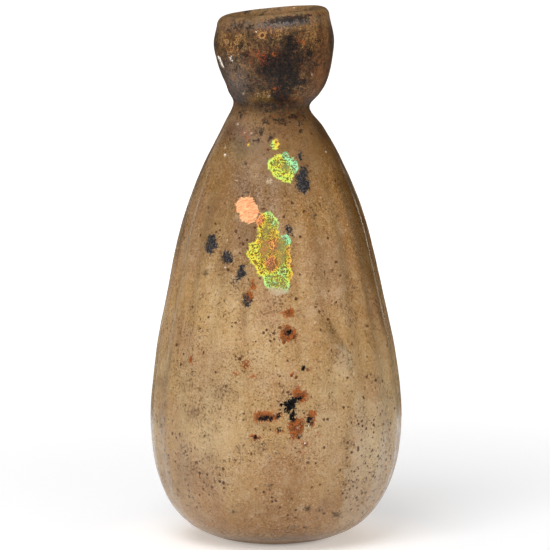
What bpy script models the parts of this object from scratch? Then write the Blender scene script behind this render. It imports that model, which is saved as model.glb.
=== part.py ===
"""Ribbed glass bottle: a blown, pear-shaped body with soft upright ribs, a pinched neck and a cup mouth.

It is one piece of glass, hollow and empty, and it stands on a flat ring under its base.
Lengths are in metres, +Z is up, and the origin is on the belly's axis at the level of the standing ring.
"""

import math

import bmesh
import bpy
import numpy as np

# Outer form. Heights are measured up from the standing ring.
BELLY_RADIUS = 0.0254
BELLY_HEIGHT = 0.0252
NECK_RADIUS = 0.0077
NECK_HEIGHT = 0.0892
CUP_RADIUS = 0.0122
CUP_RISE = 0.0128  # from the neck up to the cup's widest ring
RIM_RISE = 0.0190  # from the neck up to the crest of the lip
CREST_RADIUS = 0.0095
LIP_RADIUS = 0.0019  # half the thickness of the rolled lip
BASE_RADIUS = 0.0076  # outer edge of the ring that it stands on
KICK_RADIUS = 0.0048  # the hollow pushed up into the middle of the base
KICK_DEPTH = 0.0010

# Thickness of the glass.
BODY_WALL = 0.0019
NECK_WALL = 0.0036
CUP_WALL = 0.0021
BASE_WALL = 0.0038

# Ribs: soft waves on the outside of the body, deepest between the two full heights.
RIB_COUNT = 22
RIB_DEPTH = 0.0006  # from crest to trough
RIB_FOOT = 0.0040
RIB_FULL_FROM = 0.0160
RIB_FULL_TO = 0.0600
RIB_TOP = 0.0830
RIB_TURN = math.radians(-2.5)  # from the +X axis to the nearest crest

# It was shaped by hand, so its rings stand a little off the belly's axis along X, and the rim is uneven.
BASE_SET = -0.0004
SHOULDER_SET = -0.0005
NECK_SET = -0.0009
CUP_SET = -0.0002
RIM_SET = -0.0006
PINCH_HEIGHT = 0.0045  # above and below the neck, where its own set fades out
RIM_SLOPE = 0.093  # rise of the rim for each unit across, up towards +X
NECK_SLOPE = -0.055  # the same for the ring of the neck
OVAL = 0.004  # how far the body is from round, as a share of its radius

# Each stretch of the outline, as (share of its height, share of its widening) from its foot to its head.
HEEL_CURVE = ((0.0, 0.0), (0.05, 0.3), (0.16, 0.59), (0.34, 0.8), (0.62, 0.945), (1.0, 1.0))
SHOULDER_CURVE = ((0.0, 1.0), (0.21, 0.93), (0.38, 0.805), (0.63, 0.605), (0.82, 0.35), (0.93, 0.14), (1.0, 0))
CUP_CURVE = ((0.0, 0.0), (0.2, 0.35), (0.46, 0.7), (0.72, 0.9), (1.0, 1.0))

ROWS_PER_SPAN = 2
LIP_ROWS = 9
RIB_COLUMNS = 4  # columns of faces to each rib
OUTER_COLUMNS = RIB_COUNT * RIB_COLUMNS
PLAIN_COLUMNS = OUTER_COLUMNS // 2  # under the base and inside, where there are no ribs

GLASS_COLOUR = (0.36, 0.24, 0.12, 1.0)
GLASS_ROUGHNESS = 0.35
GLASS_IOR = 1.5
GLASS_TRANSMISSION = 0.45


def smooth_step(value, start, end):
    """0 before start, 1 after end, and a smooth rise between them."""
    share = np.clip((value - start) / (end - start), 0.0, 1.0)
    return share * share * (3 - 2 * share)


def smooth_line(points, rows):
    """Points along a centripetal Catmull-Rom curve through the given ones, with so many rows to each span."""
    points = np.array(points, float)
    ends = (2 * points[0] - points[1], 2 * points[-1] - points[-2])
    held = np.vstack([ends[0], points, ends[1]])
    line = [points[0]]
    for a, b, c, d in zip(held, held[1:], held[2:], held[3:]):
        knots = np.cumsum([0.0] + [math.sqrt(np.linalg.norm(q - p)) for p, q in ((a, b), (b, c), (c, d))])
        for t in np.linspace(knots[1], knots[2], rows + 1)[1:]:
            near = [
                ((knots[i + 1] - t) * p + (t - knots[i]) * q) / (knots[i + 1] - knots[i])
                for i, (p, q) in enumerate(((a, b), (b, c), (c, d)))
            ]
            wide = [
                ((knots[i + 2] - t) * near[i] + (t - knots[i]) * near[i + 1]) / (knots[i + 2] - knots[i])
                for i in range(2)
            ]
            line.append(((knots[2] - t) * wide[0] + (t - knots[1]) * wide[1]) / (knots[2] - knots[1]))
    return np.array(line)


def stretch(curve, foot, head, narrow, wide):
    """A stretch of the outline as (radius, height) points."""
    return [(narrow + widening * (wide - narrow), foot + rise * (head - foot)) for rise, widening in curve]


def outer_wall():
    """(radius, height) up the outside, from the edge of the standing ring to the outer side of the lip."""
    heel = stretch(HEEL_CURVE, 0.0, BELLY_HEIGHT, BASE_RADIUS, BELLY_RADIUS)
    shoulder = stretch(SHOULDER_CURVE, BELLY_HEIGHT, NECK_HEIGHT, NECK_RADIUS, BELLY_RADIUS)
    cup = stretch(CUP_CURVE, NECK_HEIGHT, NECK_HEIGHT + CUP_RISE, NECK_RADIUS, CUP_RADIUS)
    lip = (CREST_RADIUS + LIP_RADIUS, NECK_HEIGHT + RIM_RISE - LIP_RADIUS)
    return smooth_line([*heel, *shoulder[1:], *cup[1:], lip], ROWS_PER_SPAN)


def base_line():
    """(radius, height) under the base, from its middle out to the edge of the standing ring."""
    shares = np.linspace(0.0, 1.0, 5)
    kick = [(KICK_RADIUS * s, KICK_DEPTH * (1 - smooth_step(s, 0.0, 1.0))) for s in shares]
    return np.array(kick + [(BASE_RADIUS, 0.0)])


def lip_line():
    """(radius, height) over the rolled lip, from its outer side to its inner side."""
    turns = np.linspace(0.0, math.pi, LIP_ROWS)
    centre = NECK_HEIGHT + RIM_RISE - LIP_RADIUS
    return np.column_stack([CREST_RADIUS + LIP_RADIUS * np.cos(turns), centre + LIP_RADIUS * np.sin(turns)])


def wall_at(height):
    """Thickness of the glass at a height on the outside."""
    body = BASE_WALL + (BODY_WALL - BASE_WALL) * smooth_step(height, 0.0, BELLY_HEIGHT)
    neck = body + (NECK_WALL - body) * smooth_step(height, (BELLY_HEIGHT + NECK_HEIGHT) / 2, NECK_HEIGHT)
    return neck + (CUP_WALL - neck) * smooth_step(height, NECK_HEIGHT, NECK_HEIGHT + CUP_RISE)


def inner_wall(line):
    """The inside of the glass: the outer line, moved in by the thickness and turned to run downwards."""
    along = np.gradient(line, axis=0)
    along /= np.linalg.norm(along, axis=1)[:, None]
    inward = np.column_stack([-along[:, 1], along[:, 0]])
    moved = line + inward * wall_at(line[:, 1])[:, None]
    moved[0, 0] = 0.0
    return moved[::-1]


def sideways(height):
    """How far the middle of the ring at a height stands off the belly's axis along X."""
    stations = (
        (0.0, BASE_SET),
        (BELLY_HEIGHT, 0.0),
        (NECK_HEIGHT - PINCH_HEIGHT, SHOULDER_SET),
        (NECK_HEIGHT, NECK_SET),
        (NECK_HEIGHT + PINCH_HEIGHT, CUP_SET),
        (NECK_HEIGHT + RIM_RISE, RIM_SET),
    )
    shift = BASE_SET
    for (low, before), (high, after) in zip(stations, stations[1:]):
        shift += (after - before) * smooth_step(height, low, high)
    return shift


def slope(height):
    """How much a ring at a height climbs for each unit across, towards +X."""
    near = 2 * PINCH_HEIGHT
    below = smooth_step(height, NECK_HEIGHT - near, NECK_HEIGHT)
    above = smooth_step(height, NECK_HEIGHT, NECK_HEIGHT + near)
    rim = smooth_step(height, NECK_HEIGHT + CUP_RISE / 2, NECK_HEIGHT + RIM_RISE)
    return NECK_SLOPE * (below - above) + RIM_SLOPE * rim


def rib_weight(height):
    """How much of the ribs' depth shows at a height."""
    return smooth_step(height, RIB_FOOT, RIB_FULL_FROM) * (1 - smooth_step(height, RIB_FULL_TO, RIB_TOP))


def placed(radius, height, turn, ribbed):
    """A point of the glass, with its ribs and with the uneven set of the neck, cup and rim."""
    ribs = RIB_DEPTH / 2 * rib_weight(height) * math.cos(RIB_COUNT * (turn - RIB_TURN)) if ribbed else 0.0
    body = 1 - smooth_step(height, BELLY_HEIGHT, NECK_HEIGHT)
    reach = radius * (1 + OVAL * body * math.cos(2 * turn)) + ribs
    x = reach * math.cos(turn)
    return (x + sideways(height), reach * math.sin(turn), height + slope(height) * x)


def add_ring(mesh, radius, height, columns, ribbed):
    """One ring of points, or a single point where the line meets the axis."""
    if radius < 1e-9:
        return [mesh.verts.new(placed(0.0, height, 0.0, False))]
    turns = [RIB_TURN + 2 * math.pi * column / columns for column in range(columns)]
    return [mesh.verts.new(placed(radius, height, turn, ribbed)) for turn in turns]


def join_rings(mesh, one, other):
    """Faces between two rings with as many points, or where one has half as many or is a single point."""
    many, few = (one, other) if len(one) >= len(other) else (other, one)
    for i in range(len(few)):
        if len(few) == 1:
            for before, after in zip(many[-1:] + many, many):
                mesh.faces.new((before, after, few[0]))
        elif len(few) == len(many):
            mesh.faces.new((many[i - 1], many[i], few[i], few[i - 1]))
        else:
            before, middle, after = many[2 * i - 2], many[2 * i - 1], many[2 * i]
            mesh.faces.new((before, middle, few[i - 1]))
            mesh.faces.new((middle, few[i], few[i - 1]))
            mesh.faces.new((middle, after, few[i]))


def glass_material():
    material = bpy.data.materials.new("amber_glass")
    material.use_nodes = True
    shader = material.node_tree.nodes["Principled BSDF"]
    shader.inputs["Base Color"].default_value = GLASS_COLOUR
    shader.inputs["Roughness"].default_value = GLASS_ROUGHNESS
    shader.inputs["IOR"].default_value = GLASS_IOR
    shader.inputs["Metallic"].default_value = 0.0
    shader.inputs["Transmission Weight"].default_value = GLASS_TRANSMISSION
    return material


def make_bottle():
    base = base_line()
    outside = outer_wall()
    inside = inner_wall(np.vstack([base[:-1:2], outside[:-ROWS_PER_SPAN:ROWS_PER_SPAN]]))
    mesh = bmesh.new()
    rings = [add_ring(mesh, r, z, PLAIN_COLUMNS, False) for r, z in base]
    rings += [add_ring(mesh, r, z, OUTER_COLUMNS, True) for r, z in outside[1:]]
    rings += [add_ring(mesh, r, z, OUTER_COLUMNS, False) for r, z in lip_line()[1:]]
    rings += [add_ring(mesh, r, z, PLAIN_COLUMNS, False) for r, z in inside]
    for low, high in zip(rings, rings[1:]):
        join_rings(mesh, low, high)
    bmesh.ops.recalc_face_normals(mesh, faces=mesh.faces)
    data = bpy.data.meshes.new("bottle")
    mesh.to_mesh(data)
    mesh.free()
    data.shade_smooth()
    data.set_sharp_from_angle(angle=math.radians(50))
    bottle = bpy.data.objects.new("ribbed_bottle", data)
    bpy.context.scene.collection.objects.link(bottle)
    data.materials.append(glass_material())
    return bottle


def main():
    for old in list(bpy.data.objects):
        bpy.data.objects.remove(old)
    make_bottle()


main()
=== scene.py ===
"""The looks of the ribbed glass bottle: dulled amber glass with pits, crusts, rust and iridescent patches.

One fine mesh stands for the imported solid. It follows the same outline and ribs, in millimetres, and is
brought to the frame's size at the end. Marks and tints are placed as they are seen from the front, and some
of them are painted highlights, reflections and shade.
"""

import math

import bpy
import numpy as np
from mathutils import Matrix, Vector, noise


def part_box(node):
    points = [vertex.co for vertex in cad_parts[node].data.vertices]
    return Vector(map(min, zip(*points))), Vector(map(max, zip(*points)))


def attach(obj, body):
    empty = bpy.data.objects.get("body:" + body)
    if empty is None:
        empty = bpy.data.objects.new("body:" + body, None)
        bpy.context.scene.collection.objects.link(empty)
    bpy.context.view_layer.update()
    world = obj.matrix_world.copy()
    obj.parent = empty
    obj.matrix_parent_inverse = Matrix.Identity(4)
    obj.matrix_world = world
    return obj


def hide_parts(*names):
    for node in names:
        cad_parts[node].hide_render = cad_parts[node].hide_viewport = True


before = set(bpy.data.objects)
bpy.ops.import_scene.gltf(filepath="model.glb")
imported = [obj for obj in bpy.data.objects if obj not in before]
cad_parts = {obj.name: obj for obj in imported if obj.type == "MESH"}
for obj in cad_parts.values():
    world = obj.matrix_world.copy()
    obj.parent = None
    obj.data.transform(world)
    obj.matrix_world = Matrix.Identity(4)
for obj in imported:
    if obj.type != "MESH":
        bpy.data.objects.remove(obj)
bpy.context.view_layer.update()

NODE = "ribbed_bottle"
low_corner, high_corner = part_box(NODE)
PACKED_HEIGHT = 109.084
UNIT = (high_corner[2] - low_corner[2]) / PACKED_HEIGHT  # metres to one of this script's millimetres

# The form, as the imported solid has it. Heights are measured up from the standing ring.
BELLY_RADIUS = 25.4
BELLY_HEIGHT = 25.2
NECK_RADIUS = 7.7
NECK_HEIGHT = 89.2
CUP_RADIUS = 12.2
CUP_RISE = 12.8
RIM_RISE = 19.0
CREST_RADIUS = 9.5
LIP_RADIUS = 1.9
BASE_RADIUS = 7.6
KICK_RADIUS = 4.8
KICK_DEPTH = 1.0
BODY_WALL = 1.9
NECK_WALL = 3.6
CUP_WALL = 2.1
BASE_WALL = 3.8
RIB_COUNT = 22
RIB_DEPTH = 0.6
RIB_FOOT = 4.0
RIB_FULL_FROM = 16.0
RIB_FULL_TO = 60.0
RIB_TOP = 83.0
RIB_TURN = math.radians(-2.5)
RIB_FILLING = 0.45
RIB_FILLED_TO = 30.0
RIB_CLEAR_FROM = 55.0
RIB_SWELL = 14.0
BASE_SET = -0.4
SHOULDER_SET = -0.5
NECK_SET = -0.9
CUP_SET = -0.2
RIM_SET = -0.6
PINCH_HEIGHT = 4.5
RIM_SLOPE = 0.093
NECK_SLOPE = -0.055
OVAL = 0.004
HEEL_CURVE = ((0.0, 0.0), (0.05, 0.3), (0.16, 0.59), (0.34, 0.8), (0.62, 0.945), (1.0, 1.0))
SHOULDER_CURVE = (
    (0.0, 1.0), (0.21, 0.93), (0.38, 0.805), (0.63, 0.605), (0.82, 0.35), (0.93, 0.14), (1.0, 0.0),
)
CUP_CURVE = ((0.0, 0.0), (0.2, 0.35), (0.46, 0.7), (0.72, 0.9), (1.0, 1.0))

# The fine mesh, with its columns crowded towards the camera.
COLUMNS = RIB_COUNT * 13
OUTER_STEP = 0.5
INNER_STEP = 2.2
FRONT_CROWDING = 0.4
CURVE_ROWS = 24  # to each span of a curve
LIP_ROWS = 40

# The camera, at the photograph's viewing angle.
CAMERA_DISTANCE = 1000.0
CAMERA_RISE = math.radians(7.5)
CAMERA_AIM = np.array((-0.22, 0.0, 54.3))
CAMERA_LENS = 321.4
CLIP_END = 20.0
SENSOR_WIDTH = 36.0
TO_CAMERA = np.array((0.0, -math.cos(CAMERA_RISE), math.sin(CAMERA_RISE)))
PICTURE_UP = np.array((0.0, math.sin(CAMERA_RISE), math.cos(CAMERA_RISE)))
CAMERA_PLACE = CAMERA_AIM + CAMERA_DISTANCE * TO_CAMERA
PICTURE_SIDE = 550
PIXEL = CAMERA_DISTANCE * SENSOR_WIDTH / CAMERA_LENS / PICTURE_SIDE  # millimetres at the bottle's axis

# Light from the dim warm room round the bottle, and from the broad soft light over it.
WHITE = (1.0, 1.0, 1.0, 1.0)
ROOM_LIGHT = 0.1
ROOM_TINT = (1.0, 0.86, 0.66, 1.0)
OVERHEAD_LIGHT = 1.2
OVERHEAD_RISE = (0.68, 0.9)
STRIP_TINT = (1.0, 0.86, 0.68, 1.0)
LIGHT_AIM = Vector((0, 0, 55))

# The floor, and how its glow changes between two distances from the bottle's axis, in millimetres.
FLOOR_WHITE = (0.73, 0.74, 0.765, 1.0)
FLOOR_GLOW = 0.27
FAR_GLOW = 0.7
GLOW_REACH = (50, 400)
# The warm glow close to the bottle is a painted pool of light, for light that comes through the glass.
WARM_GLOW = 0.2
WARM_LIGHT = (1.0, 0.92, 0.84, 1.0)
WARM_REACH = (14, 42)
# Close under the bottle the glow drops to this share, a painted contact shadow.
CONTACT_SHARE = 0.2
CONTACT_REACH = (4, 12)

FAR = 4.0  # a distance to a mark that counts as outside it
SIGHT_EDGE = 0.05  # how far a place has to face the camera to hold the photograph's marks
# How the front's tints fade behind the axis, in millimetres, and soft spots outwards.
HIDDEN_FADE = 8.0
SPOT_FALL = 1.1
# How far past its outline each kind of mark still needs the marked glass, in millimetres.
MARK_MARGINS = {
    "film": 1.2, "salmon": 1.0, "crust": 1.4, "tar": 1.2,
    "rust": 1.4, "soot": 2.2, "smudge_and_shade": 1.2, "flake": 0.8,
}
# The dark tint holds dark glass and soot, and painted shade too.
OPAQUE_DARK_FROM = 0.3  # how strong the dark tint is where it keeps light from going through

# Marks are outlined as the camera sees them, in the photograph's pixels from its top left corner. A mark is
# an outline of corners, or an oval as (across, down, width, height) and any lean in degrees clockwise.
# Smudges are dark growths with soft edges, but the long one under the front of the lip is painted shade. At
# the paler marks a layer of the film has come away. The highlight marks are painted glints on the glass.
MARKS = {}
MARKS["film"] = (
    ((269, 161), (274, 156), (281, 154), (286, 152), (290, 156), (293, 158), (297, 162), (299, 167),
     (297, 171), (293, 176), (292, 183), (288, 183), (283, 182), (278, 179), (274, 176), (271, 171),
     (267, 168), (267, 164)),
    ((256, 222), (260, 214), (265, 212), (271, 212), (275, 217), (279, 221), (278, 229), (280, 235),
     (284, 236), (287, 233), (291, 239), (290, 252), (292, 261), (289, 265), (294, 274), (290, 281),
     (288, 292), (282, 293), (276, 292), (270, 290), (265, 285), (263, 277), (257, 273), (255, 266),
     (251, 262), (247, 256), (246, 253), (250, 248), (248, 244), (256, 242), (257, 235), (258, 229)),
    (275.2, 144.5, 8.5, 10.5, 15), (248.8, 144.6, 3.6, 3.2),
)
MARKS["salmon"] = (
    ((235, 204), (238, 199), (246, 196), (252, 197), (256, 204), (260, 212), (257, 216), (255, 221),
     (249, 224), (243, 222), (239, 217), (240, 215), (236, 209)),
)
MARKS["crust"] = (
    ((302, 166), (307, 167), (308, 173), (306, 177), (310, 181), (310, 188), (305, 194), (301, 192),
     (297, 190), (296, 186), (298, 182), (295, 179), (298, 173)),
    ((298, 153), (301, 151), (302, 156), (301, 162), (298, 161)),
    ((207, 240), (211, 233), (215, 235), (217, 245), (215, 252), (207, 253), (206, 246)),
    ((222, 255), (226, 249), (231, 255), (234, 258), (229, 263), (225, 263), (222, 259)),
    ((236, 272), (241, 265), (245, 267), (246, 275), (242, 280), (237, 279)),
    ((286, 231), (286, 224), (290, 226), (294, 230), (291, 235), (287, 234)),
    (235.5, 282, 4, 4),
    ((244, 294), (247, 294), (248, 301), (253, 300), (252, 303), (247, 307), (244, 306)),
    (281, 111.3, 7, 3), (300, 125, 4, 4, 30), (226.5, 41.5, 4.4, 4.4),
)
MARKS["tar"] = (
    ((283, 403), (288, 400), (292, 397), (297, 398), (300, 396), (302, 396), (301, 399), (297, 402),
     (296, 405), (293, 409), (296, 414), (295, 421), (292, 423), (289, 420), (290, 413), (287, 412),
     (284, 413), (286, 407), (281, 405), (280, 403)),
    ((258, 419), (262, 416), (268, 416), (273, 417), (272, 420), (263, 419.5), (259, 421)),
    ((276, 416), (280, 413), (280, 417), (278, 419), (276, 418.5)),
    (279.5, 429.6, 7, 3.6, -5), (282, 410.5, 4, 2.4, -35),
    ((252, 436), (256, 436), (260, 438), (257, 440), (254, 438)),
    ((305, 419), (309, 416), (313, 419), (312, 423), (309, 423)),
    (308, 426.5, 6, 3, -20), (300, 437, 4.4, 3.6, -20), (298.5, 449.8, 5, 3, -25), (303.3, 368.3, 4.4, 4.4),
    (262.3, 444.3, 2.4, 2), (267, 429.6, 9, 1.5, -8), (287, 333, 5, 5), (290, 331.5, 4, 3, -30),
)
MARKS["rust"] = (
    ((294, 387), (298, 386), (302, 391), (307, 391), (308, 397), (305, 402), (300, 403), (295, 400),
     (293, 394)),
    ((254, 417), (257, 410), (266, 412), (275, 413), (279, 411), (282, 414), (280, 420), (272, 421),
     (264, 422), (256, 423)),
    ((287, 424), (290, 419), (296, 416), (301, 418), (304, 422), (305, 429), (301, 434), (299, 439),
     (293, 439), (289, 434)),
    ((307, 412), (311, 410), (316, 410), (316, 416), (314, 424), (312, 428), (306, 422)),
    ((250, 436), (255, 434), (262, 438), (261, 441), (256, 441)),
    ((300, 441), (306, 441), (310, 442), (308, 446), (304, 447)),
    (318, 434, 4, 6, 30), (280, 431, 10, 5), (293, 374.5, 5, 4, 20), (309, 370.5, 4, 4.6, 20),
    (246, 365, 7, 9.5, 25), (235, 374, 5, 4), (191.3, 360, 4.4, 6), (254, 376, 7, 1.6, -30),
    ((280, 332), (283, 327), (287, 323), (291, 327), (296, 330), (298, 337), (296, 343), (290, 341),
     (284, 343), (280, 339)),
    ((282, 312), (288, 307.5), (294, 310), (294, 317), (287, 317.5), (283, 315)),
    ((249, 281), (256, 281), (255, 289), (251, 291)),
    ((244, 293), (250, 290), (254, 296), (253, 303), (246, 304)),
    (248.4, 144, 2.6, 3.6, 30), (313, 246, 2.2, 2.2), (291.5, 267, 3, 6, -20), (302, 41.5, 6, 1.6, 25),
    (273.5, 54.6, 3.4, 1.8), (251, 64.5, 2, 2.4), (274.5, 89.5, 2.2, 2.2), (302, 452, 3, 2),
)
MARKS["soot"] = (
    ((284, 36), (293, 34), (298, 42), (299, 52), (304, 60), (303, 68), (298, 74), (299, 84), (292, 90),
     (288, 98), (284, 103), (277, 101), (271, 98), (271, 88), (275, 80), (266, 76), (258, 72), (256, 60),
     (260, 52), (268, 52), (276, 51), (282, 45)),
    (291, 102.5, 12, 4, 15),
)
# Dark smudges. The long first one, under the front of the lip, is painted shade.
MARKS["smudge_and_shade"] = (
    (289, 18.6, 50, 6.4, -8), (247, 11.6, 9, 3, -8), (262, 35.3, 5, 5), (250, 27, 7, 5), (302, 15, 12, 3, -4),
    (281.5, 122, 17, 5, 12), (266, 122.5, 9, 4), (294, 116.5, 11, 5), (261.5, 132.5, 9, 5), (256, 141, 7, 4),
    (241, 115, 3, 6), (246, 191.5, 3, 3), (244.5, 163, 3, 3), (296, 214, 3, 4), (301, 131, 3, 4),
    (270, 139, 5, 4), (206, 274, 3, 8, 20), (240, 46, 5, 10, 10), (246, 54, 9, 6), (236, 69, 5, 4),
    (309, 53, 8, 8), (318, 41, 5, 3), (303, 82, 6, 6), (233, 282, 5, 4), (315, 216, 4, 3),
    (337, 216, 2.6, 2.6), (331, 271, 2.6, 2.6), (218, 396, 2.2, 3), (161, 425, 2.2, 3), (225, 482, 4, 3),
    (233, 512, 4, 3.4), (256, 506, 2.4, 2.4), (307, 508, 7, 7), (320, 510, 4, 4), (336, 514, 7, 5),
    (269, 487, 6, 5), (277, 453, 3, 3), (318, 528, 4, 3), (293, 527, 6, 3), (205, 436, 5, 4),
    (226, 388, 3, 3), (191.5, 359.5, 3, 4.6, 10), (246.5, 364, 4.2, 6, 25), (309, 370, 3, 3.4),
    (288, 312.5, 7, 5), (250, 284, 3, 6, 10), (236, 374, 3, 3),
)
MARKS["flake"] = (
    ((268, 286), (276, 288), (284, 288), (289, 291), (285, 294), (277, 297), (270, 293)),
    (269, 181.5, 7, 7), (256.5, 175, 3.5, 3.5), (257.5, 95, 1.6, 2.4), (268.5, 96.5, 2, 2.4),
    (312, 74.5, 1.8, 1.8), (244, 93, 1.6, 1.6), (302, 446, 2.4, 2), (259, 426, 2, 3), (298, 428, 4, 3, 20),
    (225, 147, 2.4, 2.4), (225, 155, 2.4, 3), (251, 133, 2.4, 2), (238, 124, 3, 2),
)
MARKS["pit"] = (
    (262, 35.3, 6, 6), (226.5, 41.5, 4, 4), (266, 426, 11, 7),
)
# Painted highlights: small glints and bright edges on the glass, laid on as near-white colour.
MARKS["painted_highlight"] = (
    ((216.8, 55.6), (219, 56.4), (220.8, 58.6), (220.6, 60.6), (218.8, 59.6)),
    ((219.6, 60.4), (221.6, 62), (223.8, 68.4), (222.4, 67.6), (220.4, 64)),
    (229.5, 58, 3, 1, 30), (231.5, 61, 2.6, 0.8, -30), (260.6, 425.6, 1.4, 3.6, 10), (231, 57, 1, 2),
    (308, 426, 2, 2.4), (305.3, 443.6, 2, 2.4, -30), (242.3, 518, 2.6, 1.6), (326, 152, 1.8, 1.8),
    (310.5, 321.5, 2, 1.6), (327, 301, 2, 1.4), (245, 133, 1.8, 1.8), (225, 154.5, 2, 2),
    (289.5, 23.5, 1.4, 1.4), (238, 125, 1.6, 1.6), (225, 267, 2.2, 2.2), (290, 435.5, 2, 2),
    (273.5, 431, 1.4, 1.4),
)
MARKS["paler"] = (
    ((358, 392), (354, 412), (355, 432), (353, 448), (350, 462), (346, 476), (342, 496), (339, 512),
     (341, 528), (362, 518), (384, 490), (396, 452), (400, 410), (394, 396), (372, 402)),
    ((337, 345), (346, 342), (352, 356), (350, 372), (343, 384), (338, 366)),
)

# Hues of the films, as (across, down, reach, hue), from 0 for blue-green over 0.5 for yellow to 1 for pink.
FILM_HUES = (
    (291, 156, 5, 0), (298, 167, 5, 0), (269, 163, 5, 0.25), (277, 166, 6, 0.4), (284, 177, 7, 0.3),
    (272, 144, 3, 0.2), (277, 143, 3, 0.6), (249, 144, 3, 0.62), (269, 214, 5, 0.2), (275, 221, 5, 0.2),
    (260, 219, 4, 0.9), (257, 235, 5, 0.5), (250, 253, 6, 0.4), (256, 264, 5, 0.45), (262, 272, 4, 0.45),
    (273, 233, 4, 0.5), (274, 245, 4, 0.75), (287, 236, 4, 0), (290, 252, 3, 0.7), (273, 266, 4, 0.9),
    (290, 264, 3, 0.65), (282, 272, 6, 0.2), (267, 281, 5, 0.15), (288, 290, 4, 0.1), (292, 276, 3, 0.65),
    (283, 254, 4, 0.35), (265, 228, 4, 0.5), (277, 284, 6, 0.25), (265, 250, 4, 0.6),
)
PLAIN_HUE = 0.3  # away from these places

# Where the film has worn thin, as soft spots of (across, down, width, height), strength and any lean.
BARE_PLACES = (
    (285, 167, 12, 8), (265, 248, 11, 30, 0.9), (281, 250, 13, 44, 0.95), (266, 230, 8, 24, 0.8),
    (273, 254, 7, 8, 0.7), (276, 224, 9, 14, 0.7), (277, 282, 24, 24, 0.6), (264, 250, 12, 12),
    (284, 287, 6, 4), (270, 218, 12, 12, 0.45),
)

# Tints, as soft spots too.
TINTS = {}
# Dark spots: the dark glass and soot of the cup, neck and base, and painted shade: thin dark bands along the
# outlines of the cup, the left shoulder and the right side, and the band under the front of the lip.
TINTS["dark"] = (
    (280, 50, 110, 70, 0.7), (281, 66, 50, 62), (288, 44, 28, 24, 0.95), (275, 102, 70, 26, 0.97),
    (285, 116, 50, 18, 0.7), (324, 134, 8, 50, 0.7, -35), (342, 163, 5, 70, 0.6, -27),
    (353, 192, 5, 80, 0.7, -21), (364, 222, 5, 80, 0.7, -18), (373, 252, 5, 80, 0.7, -16),
    (382, 285, 5, 80, 0.65, -14), (389, 315, 4, 70, 0.55, -13), (288, 23, 62, 11, 0.97, -6),
    (212, 220, 34, 90, 0.25, 12), (288, 160, 60, 60, 0.35), (245, 235, 40, 90, 0.25), (216, 42, 10, 44, 0.95),
    (225, 80, 8, 40, 0.8, -20), (332, 45, 8, 50, 0.9), (326, 80, 7, 34, 0.6, 22), (240, 12, 22, 5, 0.8, -10),
    (312, 8, 34, 8, 0.8), (318, 14, 20, 10, 0.7), (182, 232, 6, 70, 0.45, 13), (198, 180, 6, 70, 0.45, 22),
    (217, 136, 6, 40, 0.4, 30), (330, 260, 50, 70, 0.2, -10), (282, 128, 60, 20, 0.45),
    (275, 131, 110, 24, 0.3), (275, 540, 130, 7, 0.3),
)
TINTS["red"] = (
    (262, 200, 60, 70, 0.4), (250, 240, 40, 70, 0.4), (228, 268, 30, 40, 0.35), (193.5, 412, 12, 11, 0.8),
    (160, 382, 12, 18, 0.4), (225, 388, 14, 14, 0.3), (190, 470, 60, 50, 0.25), (314, 72, 24, 44, 0.7),
    (275, 515, 110, 24, 0.25), (244, 310, 8, 50, 0.4), (300, 120, 40, 14, 0.4), (338, 352, 16, 34, 0.4, -25),
    (288, 130, 84, 28, 0.5), (230, 129, 22, 18, 0.7),
)
# Pale spots. Some are painted light: the thin bands just inside the right and left outlines are painted
# reflections of the side lights, the spot on the left under the neck at (246, 144) is a painted highlight,
# and the spots round the foot are painted light from the floor below.
TINTS["pale"] = (
    (246, 144, 28, 28, 0.8), (215, 330, 50, 100, 0.4), (205, 425, 76, 96, 0.85), (262, 350, 60, 50, 0.3),
    (375, 455, 34, 90, 0.95), (320, 430, 60, 120, 0.4), (362, 400, 22, 50, 0.4), (160, 440, 16, 70, 0.4),
    (360, 505, 34, 50, 0.7, 30), (228, 490, 60, 50, 0.25), (272, 11.5, 46, 8, 1, -4),
    (160, 378, 26, 60, 0.8, 10), (182, 385, 30, 60, 0.6), (335, 385, 50, 50, 0.8), (222, 300, 34, 56, 0.5),
    (361, 228, 3, 44, 0.6, -17), (368, 255, 3, 44, 0.6, -16), (375, 285, 3, 48, 0.6, -14),
    (364, 300, 7, 60, 0.5, -14), (384, 384, 16, 90, 0.9, -4), (396, 390, 8, 110, 0.9, -3),
    (156, 440, 14, 100, 0.8, -4), (180, 498, 30, 60, 0.6, -40), (352, 512, 30, 60, 0.75, 45),
    (335, 420, 50, 60, 0.6), (176, 480, 20, 60, 0.5, -20), (394, 420, 9, 120, 0.5, 4),
    (192, 515, 16, 40, 0.5, -50), (356, 524, 14, 30, 0.5, 60),
)
# Olive spots. The long bands near the right outline are painted shade, like the dark, gold and amber chains
# there.
TINTS["olive"] = (
    (262, 98, 26, 9, 0.8), (240, 150, 14, 30, 0.35, 10), (332, 331, 9, 20, 0.8, -25),
    (341, 346, 8, 20, 0.7, -35), (349, 364, 8, 18, 0.55, -15), (347, 452, 7, 100, 0.42, 4),
    (275, 539, 110, 6, 0.3), (348, 200, 12, 100, 0.5, -20), (364, 260, 10, 100, 0.5, -16),
    (285, 148, 24, 8, 0.5), (180, 330, 5, 80, 0.35, 8), (170, 360, 4, 60, 0.3, 8),
)
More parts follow.
